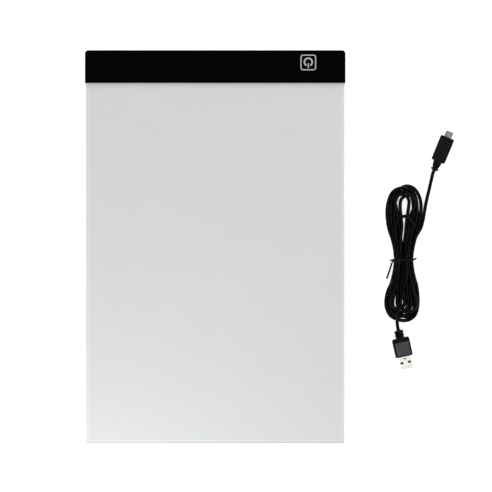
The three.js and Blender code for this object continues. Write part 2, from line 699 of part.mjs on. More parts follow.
// Outer form of the tied hank: two lobes and a waist, with a flat where each tail leaves it.
function makeHank() {
  const leftSide = [[181.4, 53.2], [175.0, 56.1], [167.7, 52.2], [158.9, 45.3], [154.2, 38.0],
    [152.9, 30.7], [155.9, 18.9], [158.4, 9.1], [160.8, -1.1], [waistLeft, tieY], [159.0, -23.2],
    [155.9, -33.6], [153.4, -43.0], [153.2, -52.7], [156.0, -61.5], [161.6, -66.4]];
  const rightSide = [[172.6, -68.3], [179.8, -64.0], [184.6, -56.6], [185.3, -50.6], [182.4, -36.9],
    [180.3, -27.6], [waistRight, tieY], [181.9, 3.3], [184.8, 11.6], [187.9, 19.4], [190.0, 28.0],
    [191.4, 36.8]];
  const outline = new THREE.Shape();
  outline.moveTo(187.2, 38.1);
  outline.splineThru(leftSide.map(([x, y]) => new THREE.Vector2(x, y)));
  outline.lineTo(166.4, -67.2);
  outline.splineThru(rightSide.map(([x, y]) => new THREE.Vector2(x, y)));
  outline.closePath();
  let hank = toSolid(plate(outline, 0, hankHeight, 1.5, 2));
  const reach = 40;
  const groove = toSolid(block(waistLeft - reach, waistRight + reach, tieY - tieWidth / 2 - slipGap,
    tieY + tieWidth / 2 + slipGap, -1, hankHeight + 1));
  const core = toSolid(block(waistLeft + tieDepth, waistRight - tieDepth, tieY - reach, tieY + reach,
    tieLift + tieThickness + slipGap, hankHeight - tieDepth));
  hank = hank.subtract(groove.subtract(core));
  addPiece(lightBox, 'lead_hank', toGeometry(hank), blackPvc);
}

// Wire tie round the hank's waist.
function makeHankTie() {
  const x0 = waistLeft + tieDepth - slipGap;
  const x1 = waistRight - tieDepth + slipGap;
  const z0 = tieLift + tieThickness;
  const z1 = hankHeight - tieDepth + slipGap;
  const band = (grow) => block(x0 - grow, x1 + grow, tieY - tieWidth / 2, tieY + tieWidth / 2,
    z0 - grow, z1 + grow);
  const opening = block(x0, x1, tieY - tieWidth, tieY + tieWidth, z0, z1);
  const tie = toSolid(band(tieThickness)).subtract(toSolid(opening));
  addPiece(lightBox, 'hank_tie', toGeometry(tie), blackPvc);
}

makeHeaderTopCover();
makeHeaderBottomCover();
makeHeaderScrews();
makeBackSheet();
makeReflectorSheet();
makeLightGuidePlate();
makeEdgeTapes();
makeDiffuserSheet();
makeTopSheet();
makeLedStrip();
makeControlBoard();
makeBoardComponents();
makeTouchSwitch();
makeStripWires();
makeSocket();
makeTouchMark();
makeFeet();
makeMicroPlug();
makeUsbPlug();
makeLeadTails();
makeHank();
makeHankTie();

export default lightBox;
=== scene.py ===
import math

import bmesh
import bpy
import numpy as np
from mathutils import Matrix, Vector


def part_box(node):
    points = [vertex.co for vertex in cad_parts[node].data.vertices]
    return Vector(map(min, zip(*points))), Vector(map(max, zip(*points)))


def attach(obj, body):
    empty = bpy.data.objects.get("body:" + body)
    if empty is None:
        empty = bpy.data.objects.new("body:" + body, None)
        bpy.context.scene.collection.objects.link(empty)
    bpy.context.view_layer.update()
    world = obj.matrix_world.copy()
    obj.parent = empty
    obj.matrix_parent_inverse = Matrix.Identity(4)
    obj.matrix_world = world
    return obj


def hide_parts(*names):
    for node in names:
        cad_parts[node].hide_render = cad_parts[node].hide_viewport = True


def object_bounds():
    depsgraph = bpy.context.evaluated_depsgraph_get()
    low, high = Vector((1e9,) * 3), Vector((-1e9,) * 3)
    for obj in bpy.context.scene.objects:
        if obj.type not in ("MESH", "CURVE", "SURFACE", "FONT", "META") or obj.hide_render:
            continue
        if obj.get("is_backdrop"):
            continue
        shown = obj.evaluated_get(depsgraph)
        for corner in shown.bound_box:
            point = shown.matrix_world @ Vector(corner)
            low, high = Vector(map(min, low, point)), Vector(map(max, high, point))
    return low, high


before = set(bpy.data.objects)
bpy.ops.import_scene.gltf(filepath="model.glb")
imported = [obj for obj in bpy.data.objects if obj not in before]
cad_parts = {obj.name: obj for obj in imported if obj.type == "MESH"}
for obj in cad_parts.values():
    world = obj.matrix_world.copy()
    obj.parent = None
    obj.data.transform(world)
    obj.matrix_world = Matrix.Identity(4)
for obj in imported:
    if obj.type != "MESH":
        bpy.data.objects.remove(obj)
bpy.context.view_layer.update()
MM = 0.001


# Camera. It hangs straight above the pad and its lead on a long lens, so that upright faces hardly
# show, and it frames a square a little wider than the two of them together.
frame_centre = Vector((27.8, 0.9, 0.0)) * MM
frame_width = 444.0 * MM
framed_height = 5 * MM
camera_height = 2.6
camera_data = bpy.data.cameras.new("camera_above")
camera_data.sensor_width = 36.0
camera_data.lens = camera_data.sensor_width * (camera_height - framed_height) / frame_width
camera_data.clip_end = 20.0
camera = bpy.data.objects.new("camera_above", camera_data)
camera.location = frame_centre + Vector((0, 0, camera_height))
bpy.context.scene.collection.objects.link(camera)
bpy.context.scene.camera = camera


# Studio. A sheet of white card under everything, a pale room, and soft lamps: one overhead, one low
# behind the header, one off the near left corner, a small one close to the near edge, one off right.
def linear(hex_colour):
    """A colour written as sRGB hex, as the linear RGBA that Blender's sockets take."""
    channels = [int(hex_colour[i:i + 2], 16) / 255 for i in (0, 2, 4)]
    return tuple(c / 12.92 if c <= 0.04045 else ((c + 0.055) / 1.055) ** 2.4 for c in channels) + (1.0,)


def add_node(material, kind, settings, links=()):
    """One node: settings go to its inputs or its own properties, and links join other nodes' outputs
    to its inputs."""
    node = material.node_tree.nodes.new(kind)
    for key, value in settings.items():
        if isinstance(key, str) and hasattr(node, key):
            setattr(node, key, value)
        else:
            node.inputs[key].default_value = value
    for socket, source in links:
        material.node_tree.links.new(source, node.inputs[socket])
    return node


def start_material(name):
    """An empty node material."""
    material = bpy.data.materials.new(name)
    material.use_nodes = True
    material.node_tree.nodes.clear()
    return material


def point_place(material):
    """The place of each point of a piece that wears the material, in metres."""
    return add_node(material, "ShaderNodeTexCoord", {}).outputs["Object"]


def finish_material(material, settings, links=()):
    """The material with its surface: one Principled shader with the given settings and links."""
    shader = add_node(material, "ShaderNodeBsdfPrincipled", settings, links)
    add_node(material, "ShaderNodeOutputMaterial", {}, [("Surface", shader.outputs["BSDF"])])
    return material


def patches(material, place, size, detail):
    """Soft uneven patches, from 0 to 1, about a size in millimetres across."""
    return add_node(material, "ShaderNodeTexNoise", {"Scale": 1 / (size * MM), "Detail": detail},
                    [("Vector", place)]).outputs["Fac"]


def between(material, source, low, high):
    """A value that goes from low to high as its source goes from 0 to 1."""
    return add_node(material, "ShaderNodeMapRange", {"To Min": low, "To Max": high},
                    [("Value", source)]).outputs["Result"]


def two_tone(material, source, low, high, dark, pale):
    """A colour that goes from dark to pale as its source goes from low to high."""
    shade = add_node(material, "ShaderNodeValToRGB", {}, [("Fac", source)])
    shade.color_ramp.elements[0].position, shade.color_ramp.elements[1].position = low, high
    shade.color_ramp.elements[0].color = linear(dark)
    shade.color_ramp.elements[1].color = linear(pale)
    return shade.outputs["Color"]


def raised(material, source, strength, depth):
    """A surface that stands up where its source is high, by a depth in millimetres."""
    return add_node(material, "ShaderNodeBump", {"Strength": strength, "Distance": depth * MM},
                    [("Height", source)]).outputs["Normal"]


def white_card():
    """Matt coated card, lit hard enough to read as plain white: a little glow stands in for that."""
    return finish_material(start_material("white_card"), {
        "Base Color": linear("fafafa"), "Roughness": 0.9, "Specular IOR Level": 0.1,
        "Emission Color": linear("ffffff"), "Emission Strength": 0.55})


card_side = 6.0
card_height = -0.05 * MM
card_mesh = bpy.data.meshes.new("white_card")
card_corners = [(-1, -1), (1, -1), (1, 1), (-1, 1)]
card_mesh.from_pydata([(x * card_side / 2, y * card_side / 2, card_height) for x, y in card_corners],
                      [], [(0, 1, 2, 3)])
card = bpy.data.objects.new("white_card", card_mesh)
card_mesh.materials.append(white_card())
bpy.context.scene.collection.objects.link(card)
card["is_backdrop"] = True

room = bpy.data.worlds.new("pale_room")
room.use_nodes = True
room.node_tree.nodes["Background"].inputs["Color"].default_value = linear("ffffff")
room.node_tree.nodes["Background"].inputs["Strength"].default_value = 0.42
bpy.context.scene.world = room


def soft_lamp(name, place, aim, size, power):
    """A square soft box at a place, turned towards the point it lights."""
    lamp_data = bpy.data.lights.new(name, "AREA")
    lamp_data.shape = "RECTANGLE"
    lamp_data.size, lamp_data.size_y = size
    lamp_data.energy = power
    lamp = bpy.data.objects.new(name, lamp_data)
    lamp.location = place
    lamp.rotation_mode = "QUATERNION"
    lamp.rotation_quaternion = (Vector(aim) - Vector(place)).to_track_quat("-Z", "Y")
    bpy.context.scene.collection.objects.link(lamp)


soft_lamp("lamp_overhead", (0.1, -0.1, 3.4), (0.1, -0.1, 0.0), (1.4, 1.4), 11.0)
soft_lamp("lamp_behind_header", (0.2, 1.25, 0.45), (0.0, 0.0, 0.0), (1.6, 0.5), 9.8)
soft_lamp("lamp_near_left", (-0.55, -0.75, 0.6), (-0.1, -0.15, 0.0), (0.7, 0.7), 4.4)
soft_lamp("lamp_close", (-0.13, -0.37, 0.2), (-0.04, -0.17, 0.0), (0.15, 0.15), 0.32)
soft_lamp("lamp_right", (1.2, 0.1, 0.9), (0.1, 0.0, 0.0), (1.0, 1.0), 4.4)
bpy.context.scene.view_settings.view_transform = "Standard"
bpy.context.scene.view_settings.look = "None"


# USB lead. Two-core lead, 3.2 mm over a soft black PVC jacket. It runs from the micro-USB plug's strain
# relief down to a hank of six long turns, tied at the waist, and on to the USB-A plug's boot.
lead_diameter = 3.2
lead_radius = lead_diameter / 2
tie_y = -11.4
micro_turn = math.radians(22.4)
usb_turn = math.radians(12.6)
micro_axis = Vector((math.sin(micro_turn), math.cos(micro_turn), 0))
usb_axis = Vector((math.sin(usb_turn), -math.cos(usb_turn), 0))
micro_low, micro_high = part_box("micro_plug_overmould")
usb_low, usb_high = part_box("usb_plug_overmould")
micro_mould_length = 23.4
usb_mould_length = 17.2
micro_rear = (micro_low + micro_high) / 2 / MM - micro_axis * micro_mould_length / 2
usb_rear = (usb_low + usb_high) / 2 / MM - usb_axis * usb_mould_length / 2
relief_length = 8.6
boot_length = 7.4


def spread(waist_x, side_x, steps, height):
    """The lead between the waist and the side of a lobe: at each y, its share of the way across."""
    return [(waist_x + (side_x - waist_x) * share, y, height) for y, share in steps]


def half_turn(start_x, tip, end_x, middle_y, height):
    """The lead round the end of a lobe: from one side, over the tip, to the other side."""
    points = []
    for angle in [math.radians(degrees) for degrees in (0, 35, 90, 145, 180)]:
        side = start_x if angle < math.pi / 2 else end_x
        points.append((tip[0] + (side - tip[0]) * abs(math.cos(angle)),
                       middle_y + (tip[1] - middle_y) * math.sin(angle), height))
    return points


def lead_route():
    """The lead's centreline as points in millimetres: the chosen points of both free runs, and between
    them the turns of the hank, each worked out from where it crosses the waist and how far it reaches."""
    # lower lobe: right side, lowest point, left side; waist going up; upper lobe: left side,
    # highest point, right side, height of its middle; waist going down
    turns = [
        (184.3, (170.8, -69.6), 154.0, (163.0, 2.7), 157.8, (175.6, 57.2), 187.4, 36, (177.2, 2.7)),
        (180.6, (172.2, -65.4), 163.8, (166.2, 2.7), 161.0, (172.6, 54.0), 180.0, 33, (174.0, 4.4)),
        (177.2, (166.6, -66.8), 157.2, (163.0, 5.6), 154.4, (173.6, 57.4), 182.4, 33, (175.4, 8.4)),
        (181.2, (174.6, -63.2), 168.0, (168.4, 4.5), 161.8, (167.0, 52.0), 174.8, 30, (171.0, 2.7)),
        (174.2, (166.6, -62.8), 158.0, (166.2, 5.6), 167.0, (174.6, 52.0), 179.4, 31, (171.4, 5.8)),
        (170.6, (165.6, -59.4), 158.6, (164.6, 8.4), 161.2, (170.8, 29.6), 180.6, 17, (173.4, 8.6)),
    ]
    points = [tuple(micro_rear - micro_axis * along)
              for along in (relief_length - 2, relief_length + 2, 13.5)]
    points += [(194.9, 58.0, 2.4), (192.6, 49.5, 1.7), (190.3, 41.0, 1.7), (189.0, 33.0, 1.7),
               (187.3, 24.5, 1.8), (184.6, 13.5, 2.8), (181.2, 1.5, 4.0)]
    waist_x, waist_z = 177.2, 5.6
    low_middle = -50.0
    low_steps = [(-24.0, 0.14), (-36.0, 0.50)]
    high_steps = [(1.0, 0.12), (15.0, 0.52)]
    low_sag, high_sag = 0.85, 0.9
    first_layer, layer_step = 2, 1.2
    for turn, (low_right, low, low_left, going_up, high_left, high, high_right, high_middle,
               going_down) in enumerate(turns):
        layer = first_layer + layer_step * turn
        points.append((waist_x, tie_y, waist_z))
        points += spread(waist_x, low_right, low_steps, waist_z * low_sag)
        points += half_turn(low_right, low, low_left, low_middle, layer)
        waist_x, waist_z = going_up
        points += spread(waist_x, low_left, low_steps[::-1] + [(tie_y, 0.0)], waist_z * low_sag)
        points += spread(waist_x, high_left, high_steps, waist_z * high_sag)
        points += half_turn(high_left, high, high_right, high_middle, layer)
        waist_x, waist_z = going_down
        points += spread(waist_x, high_right, high_steps[::-1], layer)
    points.append((waist_x, tie_y, waist_z))
    points += [(173.0, -24.0, 8.8), (169.6, -38.0, 8.8), (166.4, -52.0, 8.8), (164.4, -63.0, 7.6),
               (164.2, -67.9, 2.6), (164.7, -70.5, 3.0)]
    points += [tuple(usb_rear - usb_axis * along) for along in (boot_length + 2.2, boot_length - 1.5)]
    return np.array(points, float)


def evenly_spaced(points, step):
    """Points a fixed step apart on the smooth curve through the given ones."""
    steps_between = 12
    ends = np.vstack([2 * points[0] - points[1], points, 2 * points[-1] - points[-2]])
    fine = []
    for a, b, c, d in zip(ends, ends[1:], ends[2:], ends[3:]):
        for t in np.linspace(0, 1, steps_between, endpoint=False):
            fine.append(0.5 * (2 * b + (c - a) * t + (2 * a - 5 * b + 4 * c - d) * t ** 2
                               + (3 * b - a - 3 * c + d) * t ** 3))
    fine = np.array(fine + [points[-1]])
    along = np.r_[0, np.cumsum(np.linalg.norm(np.diff(fine, axis=0), axis=1))]
    places = np.linspace(0, along[-1], int(round(along[-1] / step)) + 1)
    return np.stack([np.interp(places, along, fine[:, axis]) for axis in range(3)], 1)


def settle(points, step, rounds):
    """Lets the wound lead settle: it keeps its length, bends no tighter than about two diameters, rests
    on the table and on its own turns, and is squeezed at the waist by the tie."""
    held_at_start, held_at_end = 5, 4
    apart_on_lead = 7           # points fewer steps apart than this never press on each other
    search_every, search_reach = 10, 4 * lead_diameter
    sink = 0.04                 # how far a point falls in each round
    early_share = 0.7           # of the rounds, with a strong pull to the chosen route
    early_pull, late_pull = 0.035, 0.012
    least_bend = 6.6
    stretch_give, bend_give, smoothing, contact_give = 0.25, 0.15, 0.16, 0.32
    shortest = 1e-6
    waist_left, waist_right, waist_low, waist_high = 161.4, 178.8, 1.05, 10.2
    funnel_slope, funnel_curve = 0.05, 0.0065
    waist_reach, tie_reach = 24, 2
    curve_dip = 0.2             # how far the smooth curve can dip between two points
    chosen = points.copy()
    held = np.zeros(len(points), bool)
    held[:held_at_start] = held[-held_at_end:] = True
    first, second = np.triu_indices(len(points), k=apart_on_lead)
    for number in range(rounds):
        if number % search_every == 0:
            apart = np.linalg.norm(points[first] - points[second], axis=1)
            close = apart < search_reach
            one, other = first[close], second[close]
        points[:, 2] -= sink
        pull = early_pull if number < early_share * rounds else late_pull
        points[:, :2] += pull * (chosen - points)[:, :2]
        for _ in range(2):
            link = points[1:] - points[:-1]
            length = np.linalg.norm(link, axis=1)[:, None]
            link *= stretch_give * (length - step) / length
            points[:-1] += link
            points[1:] -= link
            for reach in (2, 3, 4):
                turn = min(reach * step / least_bend, math.pi / 2)
                chord = 2 * least_bend * math.sin(turn)
                link = points[2 * reach:] - points[:-2 * reach]
                length = np.maximum(np.linalg.norm(link, axis=1)[:, None], shortest)
                link *= bend_give * np.minimum(length - chord, 0) / length
                points[:-2 * reach] += link
                points[2 * reach:] -= link
            points[1:-1] += smoothing * ((points[:-2] + points[2:]) / 2 - points[1:-1])
            link = points[one] - points[other]
            length = np.maximum(np.linalg.norm(link, axis=1)[:, None], shortest)
            link *= contact_give * np.maximum(lead_diameter - length, 0) / length
            np.add.at(points, one, link)
            np.subtract.at(points, other, link)
            off_waist = np.abs(points[:, 1] - tie_y)
            funnel = funnel_slope * off_waist + funnel_curve * off_waist ** 2
            squeezed = off_waist < waist_reach
            points[squeezed, 0] = np.clip(points[:, 0], waist_left + lead_radius - funnel,
                                          waist_right - lead_radius + funnel)[squeezed]
            tied = off_waist < tie_reach
            points[tied, 2] = np.clip(points[tied, 2], waist_low + lead_radius, waist_high - lead_radius)
            points[:, 2] = np.maximum(points[:, 2], lead_radius)
            points[held] = chosen[held]
    points[:, 2] = np.maximum(points[:, 2], lead_radius + curve_dip)
    return points


route_step = 2.5
settling_rounds = 300
lead_points = settle(evenly_spaced(lead_route(), route_step), route_step, settling_rounds) * MM


def smooth_cord(name, points, radius, material, closed=False):
    """A round cord as a smooth curve through the points, all in metres."""
    curve = bpy.data.curves.new(name, "CURVE")
    curve.dimensions = "3D"
    curve.bevel_depth = radius
    curve.bevel_resolution = 4
    curve.resolution_u = 4
    curve.use_fill_caps = True
    spline = curve.splines.new("BEZIER")
    spline.bezier_points.add(len(points) - 1)
    spline.use_cyclic_u = closed
    for knot, point in zip(spline.bezier_points, points):
        knot.co = point
        knot.handle_left_type = knot.handle_right_type = "AUTO"
    curve.materials.append(material)
    cord = bpy.data.objects.new(name, curve)
    bpy.context.scene.collection.objects.link(cord)
    return cord


def soft_black_pvc():
    """Extruded or moulded soft PVC: near black, with a low sheen and a faint unevenness of about 2 mm
    along the surface that breaks up its highlights."""
    material = start_material("soft_black_pvc")
    place = point_place(material)
    waves = patches(material, place, 2, 2.0)
    grain = patches(material, place, 0.3, 1.0)
    return finish_material(material, {"Specular IOR Level": 0.08}, [
        ("Base Color", two_tone(material, waves, 0.3, 0.7, "020202", "060606")),
        ("Roughness", between(material, grain, 0.16, 0.26)),
        ("Normal", raised(material, waves, 0.25, 0.03))])


black_pvc = soft_black_pvc()
every_second = (lead_points[::2] if len(lead_points) % 2 else
                np.vstack([lead_points[::2], lead_points[-1:]]))
usb_lead = smooth_cord("usb_lead_cord", every_second, lead_radius * MM, black_pvc)

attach(usb_lead, "usb_lead")
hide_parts("lead_micro_tail", "lead_hank", "lead_usb_tail")


# Micro-USB plug. A soft black PVC overmould with a finely grained back, a ribbed strain relief, and a
# folded nickel-plated steel shell round a black core with five contacts. Moulded on in one piece.
def in_line(rear, axis, height):
    """Places a plug's own millimetres, +Y from its overmould's rear to its tip, in the frame."""
    return Matrix.Scale(MM, 4) @ Matrix(((axis.y, axis.x, 0, rear.x), (-axis.x, axis.y, 0, rear.y),
                                         (0, 0, 1, height), (0, 0, 0, 1)))


def oblong(half_width, half_height, corner, along, middle_z=0.0):
    """A ring of points: a rectangle with rounded corners across a plug, at a distance along it."""
    corner_steps = 4
    ring = []
    for quarter, (x, z) in enumerate(((1, 1), (-1, 1), (-1, -1), (1, -1))):
        for step in range(corner_steps + 1):
            angle = math.radians(90 * quarter + 90 / corner_steps * step)
            ring.append((x * (half_width - corner) + corner * math.cos(angle), along,
                         middle_z + z * (half_height - corner) + corner * math.sin(angle)))
    return ring


def ribbed(along, radius, web):
    """A ring of points round the lead: an oval, a fifth wider than high, with a web at both sides."""
    sides, widening, web_half_height = 24, 1.2, 0.3
    angles = [math.radians(360 / sides * side) for side in range(sides)]
    return [(widening * (web if abs(math.sin(angle)) < web_half_height else radius) * math.cos(angle), along,
             radius * math.sin(angle)) for angle in angles]


def closed_mesh(name, rings):
    """One closed mesh stretched over a row of rings of points and capped at both ends."""
    count = len(rings[0])
    faces = [tuple(range(count)), tuple(range((len(rings) - 1) * count, len(rings) * count))]
    for start in range(0, (len(rings) - 1) * count, count):
        faces += [(start + i, start + (i + 1) % count, start + count + (i + 1) % count, start + count + i)
                  for i in range(count)]
    mesh = bpy.data.meshes.new(name)
    mesh.from_pydata([point for ring in rings for point in ring], [], faces)
    shell = bmesh.new()
    shell.from_mesh(mesh)
    bmesh.ops.recalc_face_normals(shell, faces=shell.faces)
    shell.to_mesh(mesh)
    shell.free()
    return mesh


sharp_edge = math.radians(35)


def skin(name, rings, place, material, cuts=()):
    """A piece from its rings, less any blocks cut out of it, placed in the frame."""
    piece = bpy.data.objects.new(name, closed_mesh(name, rings))
    bpy.context.scene.collection.objects.link(piece)
    for low, high in cuts:
        cutter = bpy.data.objects.new("cutter", closed_mesh("cutter", brick(low, high)))
        bpy.context.scene.collection.objects.link(cutter)
        cut = piece.modifiers.new("cut", "BOOLEAN")
        cut.object = cutter
        cut.operation = "DIFFERENCE"
        cut.solver = "EXACT"
        graph = bpy.context.evaluated_depsgraph_get()
        piece.data = bpy.data.meshes.new_from_object(piece.evaluated_get(graph))
        piece.modifiers.clear()
        bpy.data.objects.remove(cutter)
    mesh = piece.data
    mesh.transform(place)
    mesh.polygons.foreach_set("use_smooth", [True] * len(mesh.polygons))
    mesh.set_sharp_from_angle(angle=sharp_edge)
    mesh.materials.clear()
    mesh.materials.append(material)
    return piece


def brick(low, high, edge=0.05):
    """Rings for a small block between two corners, with its edges just broken."""
    half = [(b - a) / 2 for a, b in zip(low, high)]
    x, y, z = [(a + b) / 2 for a, b in zip(low, high)]
    rings = [oblong(half[0] - inset, half[2] - inset, edge, y + shift, z) for inset, shift in
             ((edge / 2, -half[1]), (0, edge / 2 - half[1]), (0, half[1] - edge / 2), (edge / 2, half[1]))]
    return [[(px + x, py, pz) for px, py, pz in ring] for ring in rings]


def belongs(piece, body, slot, *stands_for):
    """Ties a new piece to its body, in place of the CAD nodes named. The slot is not used."""
    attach(piece, body)
    if stands_for:
        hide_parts(*stands_for)


def grained_pvc(name, dark, pale, grain, rough):
    """PVC from a spark-eroded mould: a matt grain of the given size in millimetres."""
    material = start_material(name)
    place = point_place(material)
    pits = add_node(material, "ShaderNodeTexVoronoi", {"Scale": 1 / (grain * MM)}, [("Vector", place)])
    return finish_material(material, {"Roughness": rough, "Specular IOR Level": 0.12}, [
        ("Base Color", two_tone(material, patches(material, place, 3, 3.0), 0.35, 0.65, dark, pale)),
        ("Normal", raised(material, pits.outputs["Distance"], 0.5, 0.05))])


def plated_steel(name, colour, rough):
    """Folded sheet metal, bright or plated: brushed along the sheet in lines about 0.4 mm wide."""
    material = start_material(name)
    stretch = add_node(material, "ShaderNodeMapping", {"Scale": (1, 0.1, 1)},
                       [("Vector", point_place(material))])
    lines = patches(material, stretch.outputs["Vector"], 0.4, 3.0)
    return finish_material(material, {"Base Color": linear(colour), "Metallic": 1.0}, [
        ("Roughness", between(material, lines, rough - 0.05, rough + 0.08)),
        ("Normal", raised(material, lines, 0.12, 0.01))])


def moulded_plastic(name, colour, rough):
    """Hard moulded plastic with a slight orange peel about 1 mm across."""
    material = start_material(name)
    peel = patches(material, point_place(material), 1, 2.0)
    return finish_material(material, {"Base Color": linear(colour)}, [
        ("Roughness", between(material, peel, rough - 0.04, rough + 0.04)),
        ("Normal", raised(material, peel, 0.1, 0.02))])


# each row: distance from the overmould's rear, half width, half height, corner radius
micro_height = 6.4
micro_place = in_line(micro_rear, micro_axis, micro_height / 2)
micro_rings = [oblong(half, high, corner, along) for along, half, high, corner in (
    (0.0, 5.7, 2.6, 1.0), (0.3, 6.1, 3.0, 1.2), (0.9, 6.35, 3.2, 1.3), (19.9, 6.45, 3.2, 1.1),
    (20.0, 6.35, 3.1, 1.0), (20.3, 6.35, 3.1, 1.0), (20.4, 6.45, 3.15, 1.0), (22.9, 6.4, 3.1, 0.9),
    (23.3, 6.1, 2.8, 0.8), (micro_mould_length, 5.7, 2.5, 0.7))]
micro_mould = skin("micro_usb_overmould", micro_rings, micro_place,
                   grained_pvc("grained_black_pvc", "050505", "0a0a0a", 0.7, 0.5))
belongs(micro_mould, "usb_lead", "black_pvc", "micro_plug_overmould")

# each row: distance back from the overmould, radius, reach of the side web
relief_rings = [ribbed(-along, radius, web) for along, radius, web in (
    (-0.3, 3.1, 3.2), (1.5, 3.1, 3.2), (1.6, 2.6, 3.1), (2.1, 2.6, 3.1), (2.2, 3.0, 3.1), (3.3, 2.95, 3.0),
    (3.4, 2.4, 2.9), (3.9, 2.4, 2.8), (4.0, 2.7, 2.8), (4.8, 2.5, 2.6), (5.7, 2.25, 2.25), (6.4, 2.2, 2.2),
    (6.6, 2.8, 2.8), (6.9, 3.0, 3.0), (7.9, 3.0, 3.0), (8.2, 2.7, 2.7), (8.3, 2.0, 2.0),
    (relief_length, 1.75, 1.75))]
micro_relief = skin("micro_usb_strain_relief", relief_rings, micro_place, black_pvc)
belongs(micro_relief, "usb_lead", "black_pvc", "micro_strain_relief")

micro_shell_rear, micro_shell_tip = 23.2, 29.2
micro_shell_wall = 0.25


def micro_outline(inset, along):
    """The plug shell's section, wide at the top and chamfered below, pulled in by an inset."""
    half, high, chamfer = 3.42 - inset, 0.9 - inset, 0.6
    corners = [(half, high - 0.5), (half - 0.75, high), (0.75 - half, high),
               (-half, high - 0.5), (-half, chamfer - high), (chamfer - half, -high),
               (half - chamfer, -high), (half, chamfer - high)]
    return [(x, along, z) for x, z in corners]


micro_shell_rings = [micro_outline(inset, along) for inset, along in (
    (0.0, micro_shell_rear), (0.0, micro_shell_tip - 0.15), (0.1, micro_shell_tip),
    (micro_shell_wall, micro_shell_tip - 0.05), (micro_shell_wall, micro_shell_rear + micro_shell_wall))]
satin_steel = plated_steel("satin_nickel_steel", "979389", 0.42)
latch_x = 1.9
micro_cuts = [((side * latch_x - 0.45, 26.0, 0.5), (side * latch_x + 0.45, 27.8, 1.2)) for side in (-1, 1)]
micro_seam = ((-0.09, 25.0, -1.2), (0.09, 29.4, -0.5))
micro_shell = skin("micro_usb_plug_shell", micro_shell_rings, micro_place, satin_steel,
                   micro_cuts + [micro_seam])
belongs(micro_shell, "usb_lead", "nickel_steel", "micro_plug_shell")
latch_rings = [oblong(0.36, 0.06, 0.05, along, height) for along, height in (
    (26.05, 0.62), (26.7, 0.72), (27.3, 0.92), (27.6, 0.74))]
for side in (-1, 1):
    latch = skin("micro_usb_latch", latch_rings,
                 micro_place @ Matrix.Translation((side * latch_x, 0, 0)), satin_steel)
    belongs(latch, "usb_lead", "nickel_steel")

black_nylon = moulded_plastic("black_nylon", "0d0d0d", 0.5)
micro_core = skin("micro_usb_core", brick((-2.4, 24.1, -0.55), (2.4, 28.4, -0.15)), micro_place, black_nylon)
belongs(micro_core, "usb_lead", "black_nylon", "micro_plug_core")
gold = plated_steel("gold_flashed_contact", "d9b56a", 0.25)
micro_pitch = 0.65
contact_shifts = [(contact - 2) * micro_pitch for contact in range(5)]
for x in contact_shifts:
    blade = skin("micro_usb_contact", brick((x - 0.18, 24.6, -0.16), (x + 0.18, 28.1, -0.06), 0.03),
                 micro_place, gold)
    belongs(blade, "usb_lead", "nickel_steel")


# USB-A plug. A black PVC overmould with rounded edges and a paler, matt, slightly sunk panel on its
# back, a boot of two soft rings, and a bright nickel-plated shell folded round a black tongue.
usb_height = 7.6
usb_place = in_line(usb_rear, usb_axis, usb_height / 2)
usb_rings = [oblong(half, high, corner, along) for along, half, high, corner in (
    (0.0, 6.4, 1.9, 1.2), (0.2, 7.1, 2.6, 1.5), (0.7, 7.6, 3.2, 1.6), (1.7, 7.9, 3.6, 1.4),
    (3.4, 7.9, 3.8, 1.2), (16.2, 7.9, 3.8, 1.2), (16.8, 7.7, 3.6, 1.2), (17.1, 7.2, 3.2, 1.2),
    (usb_mould_length, 6.5, 2.7, 1.0))]
panel_recesses = [((-6.6, 4.1, 3.5), (6.2, 16.2, 4.5)), ((-6.6, 4.1, -4.5), (6.2, 16.2, -3.6))]
usb_mould = skin("usb_a_overmould", usb_rings, usb_place, black_pvc, panel_recesses)
belongs(usb_mould, "usb_lead", "black_pvc", "usb_plug_overmould")
usb_panel = skin("usb_a_panel", brick((-6.55, 4.15, 3.2), (6.15, 16.15, 3.56), 0.1), usb_place,
                 grained_pvc("matt_grey_pvc", "3c3e40", "484a4d", 0.35, 0.6))
belongs(usb_panel, "usb_lead", "black_pvc")

boot_rings = [ribbed(-along, radius, web) for along, radius, web in (
    (-0.3, 3.0, 3.3), (0.9, 2.8, 3.1), (1.2, 2.3, 3.0), (1.5, 2.3, 3.0), (1.7, 3.2, 3.5), (2.0, 3.5, 3.6),
    (3.0, 3.5, 3.6), (3.3, 3.2, 3.3), (3.5, 2.2, 3.1), (4.3, 2.2, 3.1), (4.5, 3.2, 3.4), (4.8, 3.5, 3.5),
    (6.3, 3.5, 3.5), (6.7, 3.2, 3.2), (7.0, 2.2, 2.2), (boot_length, 1.75, 1.75))]
usb_boot = skin("usb_a_boot", boot_rings, usb_place, black_pvc)
belongs(usb_boot, "usb_lead", "black_pvc", "usb_plug_boot")

usb_shell_rear, usb_shell_tip = 17.0, 28.5
usb_shell_wall = 0.3
bright_steel = plated_steel("bright_nickel_steel", "fbf9f3", 0.5)
usb_shell_rings = [oblong(6.1 - inset, 2.25 - inset, 0.7 - inset, along) for inset, along in (
    (0.0, usb_shell_rear), (0.0, usb_shell_tip - 0.2), (0.08, usb_shell_tip),
    (usb_shell_wall, usb_shell_tip - 0.05), (usb_shell_wall, usb_shell_rear + usb_shell_wall))]
windows = [((x - 1.35, 21.6, z - 0.6), (x + 1.35, 23.6, z + 0.6))
           for x in (-3.4, 3.4) for z in (-2.1, 2.1)]
slot_and_seam = [((-1.4, 18.7, 1.5), (1.4, 19.6, 2.7)), ((-0.09, 18.6, -2.6), (0.09, 28.8, -1.8))]
usb_shell = skin("usb_a_plug_shell", usb_shell_rings, usb_place, bright_steel, windows + slot_and_seam)
belongs(usb_shell, "usb_lead", "nickel_steel", "usb_plug_shell")

